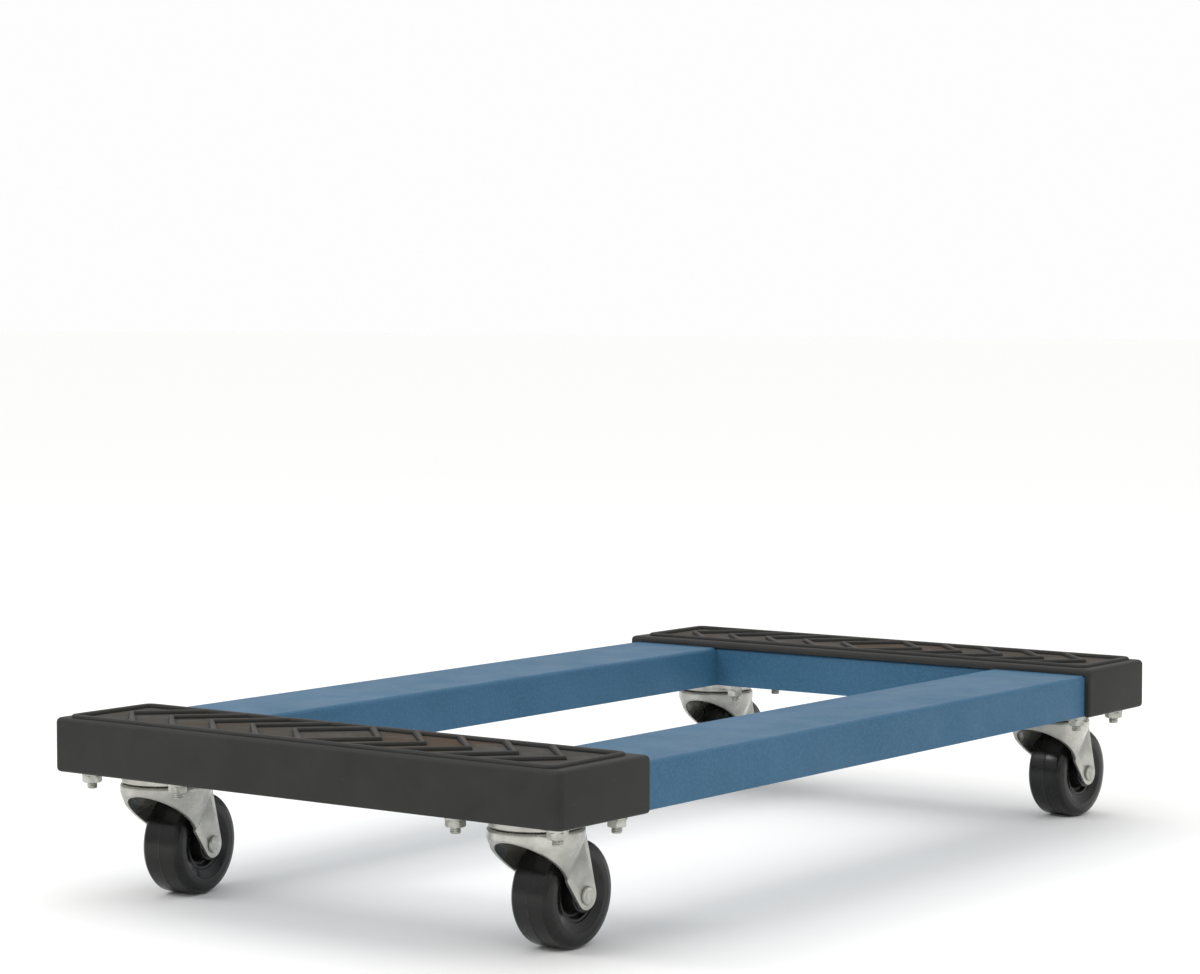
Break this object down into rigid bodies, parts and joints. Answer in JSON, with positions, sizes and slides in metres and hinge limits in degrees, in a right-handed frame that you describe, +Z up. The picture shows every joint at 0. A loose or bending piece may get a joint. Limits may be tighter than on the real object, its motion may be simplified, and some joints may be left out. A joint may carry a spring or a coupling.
{
  "type": "furniture dolly",
  "caption": "Low open-deck furniture dolly: folded steel side rails joined under ribbed rubber end caps, on swivel plate casters with hard rubber wheels.",
  "frame": {"origin": "on the floor, under the middle of the whole object's bounding box; the deck's own middle is 6 mm in front of it because the rear wheels trail behind the deck", "axes": "+Y along the deck's length towards the rear, +X to the right, +Z up; the wheels stand on z = 0"},
  "size_m": [0.473, 0.8437, 0.139],
  "materials": {
    "blue_steel": "satin powder coat",
    "cap_rubber": "matt moulded rubber, dusty between the ribs",
    "zinc_steel": "bright zinc plate on stamped steel",
    "zinc_hardware": "zinc plated hardware",
    "bearing_steel": "polished",
    "wheel_rubber": "glossy hard rubber"
  },
  "bodies": {
    "deck": {"left_side_rail": "blue_steel", "right_side_rail": "blue_steel", "front_cross_rail": "blue_steel", "rear_cross_rail": "blue_steel", "front_rubber_cap": "cap_rubber", "rear_rubber_cap": "cap_rubber", "caster_bolts": "zinc_hardware", "bolt_sleeves": "zinc_hardware", "lock_washers": "zinc_hardware", "caster_nuts": "zinc_hardware", "front_right_caster_plate": "zinc_steel", "front_right_kingpin": "zinc_steel", "front_right_race_retainer": "zinc_steel", "front_left_caster_plate": "zinc_steel", "front_left_kingpin": "zinc_steel", "front_left_race_retainer": "zinc_steel", "rear_right_caster_plate": "zinc_steel", "rear_right_kingpin": "zinc_steel", "rear_right_race_retainer": "zinc_steel", "rear_left_caster_plate": "zinc_steel", "rear_left_kingpin": "zinc_steel", "rear_left_race_retainer": "zinc_steel"},
    "front_right_swivel": {"front_right_fork": "zinc_steel", "front_right_upper_balls": "bearing_steel", "front_right_lower_balls": "bearing_steel", "front_right_axle_rivet": "zinc_steel", "front_right_wheel_bush": "zinc_steel"},
    "front_right_wheel": {"front_right_wheel": "wheel_rubber"},
    "front_left_swivel": {"front_left_fork": "zinc_steel", "front_left_upper_balls": "bearing_steel", "front_left_lower_balls": "bearing_steel", "front_left_axle_rivet": "zinc_steel", "front_left_wheel_bush": "zinc_steel"},
    "front_left_wheel": {"front_left_wheel": "wheel_rubber"},
    "rear_right_swivel": {"rear_right_fork": "zinc_steel", "rear_right_upper_balls": "bearing_steel", "rear_right_lower_balls": "bearing_steel", "rear_right_axle_rivet": "zinc_steel", "rear_right_wheel_bush": "zinc_steel"},
    "rear_right_wheel": {"rear_right_wheel": "wheel_rubber"},
    "rear_left_swivel": {"rear_left_fork": "zinc_steel", "rear_left_upper_balls": "bearing_steel", "rear_left_lower_balls": "bearing_steel", "rear_left_axle_rivet": "zinc_steel", "rear_left_wheel_bush": "zinc_steel"},
    "rear_left_wheel": {"rear_left_wheel": "wheel_rubber"}
  },
  "joints": [
    {"name": "front_right_swivel_turn", "type": "hinge", "parent": "deck", "child": "front_right_swivel", "pos_m": [0.1736, -0.3672, 0.09], "axis": [0, 0, 1], "continuous": true},
    {"name": "front_right_wheel_spin", "type": "hinge", "parent": "front_right_swivel", "child": "front_right_wheel", "pos_m": [0.17409, -0.3392, 0.0381], "axis": [0.9998, -0.0175, 0], "continuous": true},
    {"name": "front_left_swivel_turn", "type": "hinge", "parent": "deck", "child": "front_left_swivel", "pos_m": [-0.1736, -0.3672, 0.09], "axis": [0, 0, 1], "continuous": true},
    {"name": "front_left_wheel_spin", "type": "hinge", "parent": "front_left_swivel", "child": "front_left_wheel", "pos_m": [-0.17701, -0.33941, 0.0381], "axis": [0.9925, 0.1219, 0], "continuous": true},
    {"name": "rear_right_swivel_turn", "type": "hinge", "parent": "deck", "child": "rear_right_swivel", "pos_m": [0.1736, 0.355, 0.09], "axis": [0, 0, 1], "continuous": true},
    {"name": "rear_right_wheel_spin", "type": "hinge", "parent": "rear_right_swivel", "child": "rear_right_wheel", "pos_m": [0.17526, 0.38295, 0.0381], "axis": [0.9982, -0.0593, 0], "continuous": true},
    {"name": "rear_left_swivel_turn", "type": "hinge", "parent": "deck", "child": "rear_left_swivel", "pos_m": [-0.1736, 0.355, 0.09], "axis": [0, 0, 1], "continuous": true},
    {"name": "rear_left_wheel_spin", "type": "hinge", "parent": "rear_left_swivel", "child": "rear_left_wheel", "pos_m": [-0.17555, 0.38293, 0.0381], "axis": [0.9976, 0.0698, 0], "continuous": true}
  ]
}
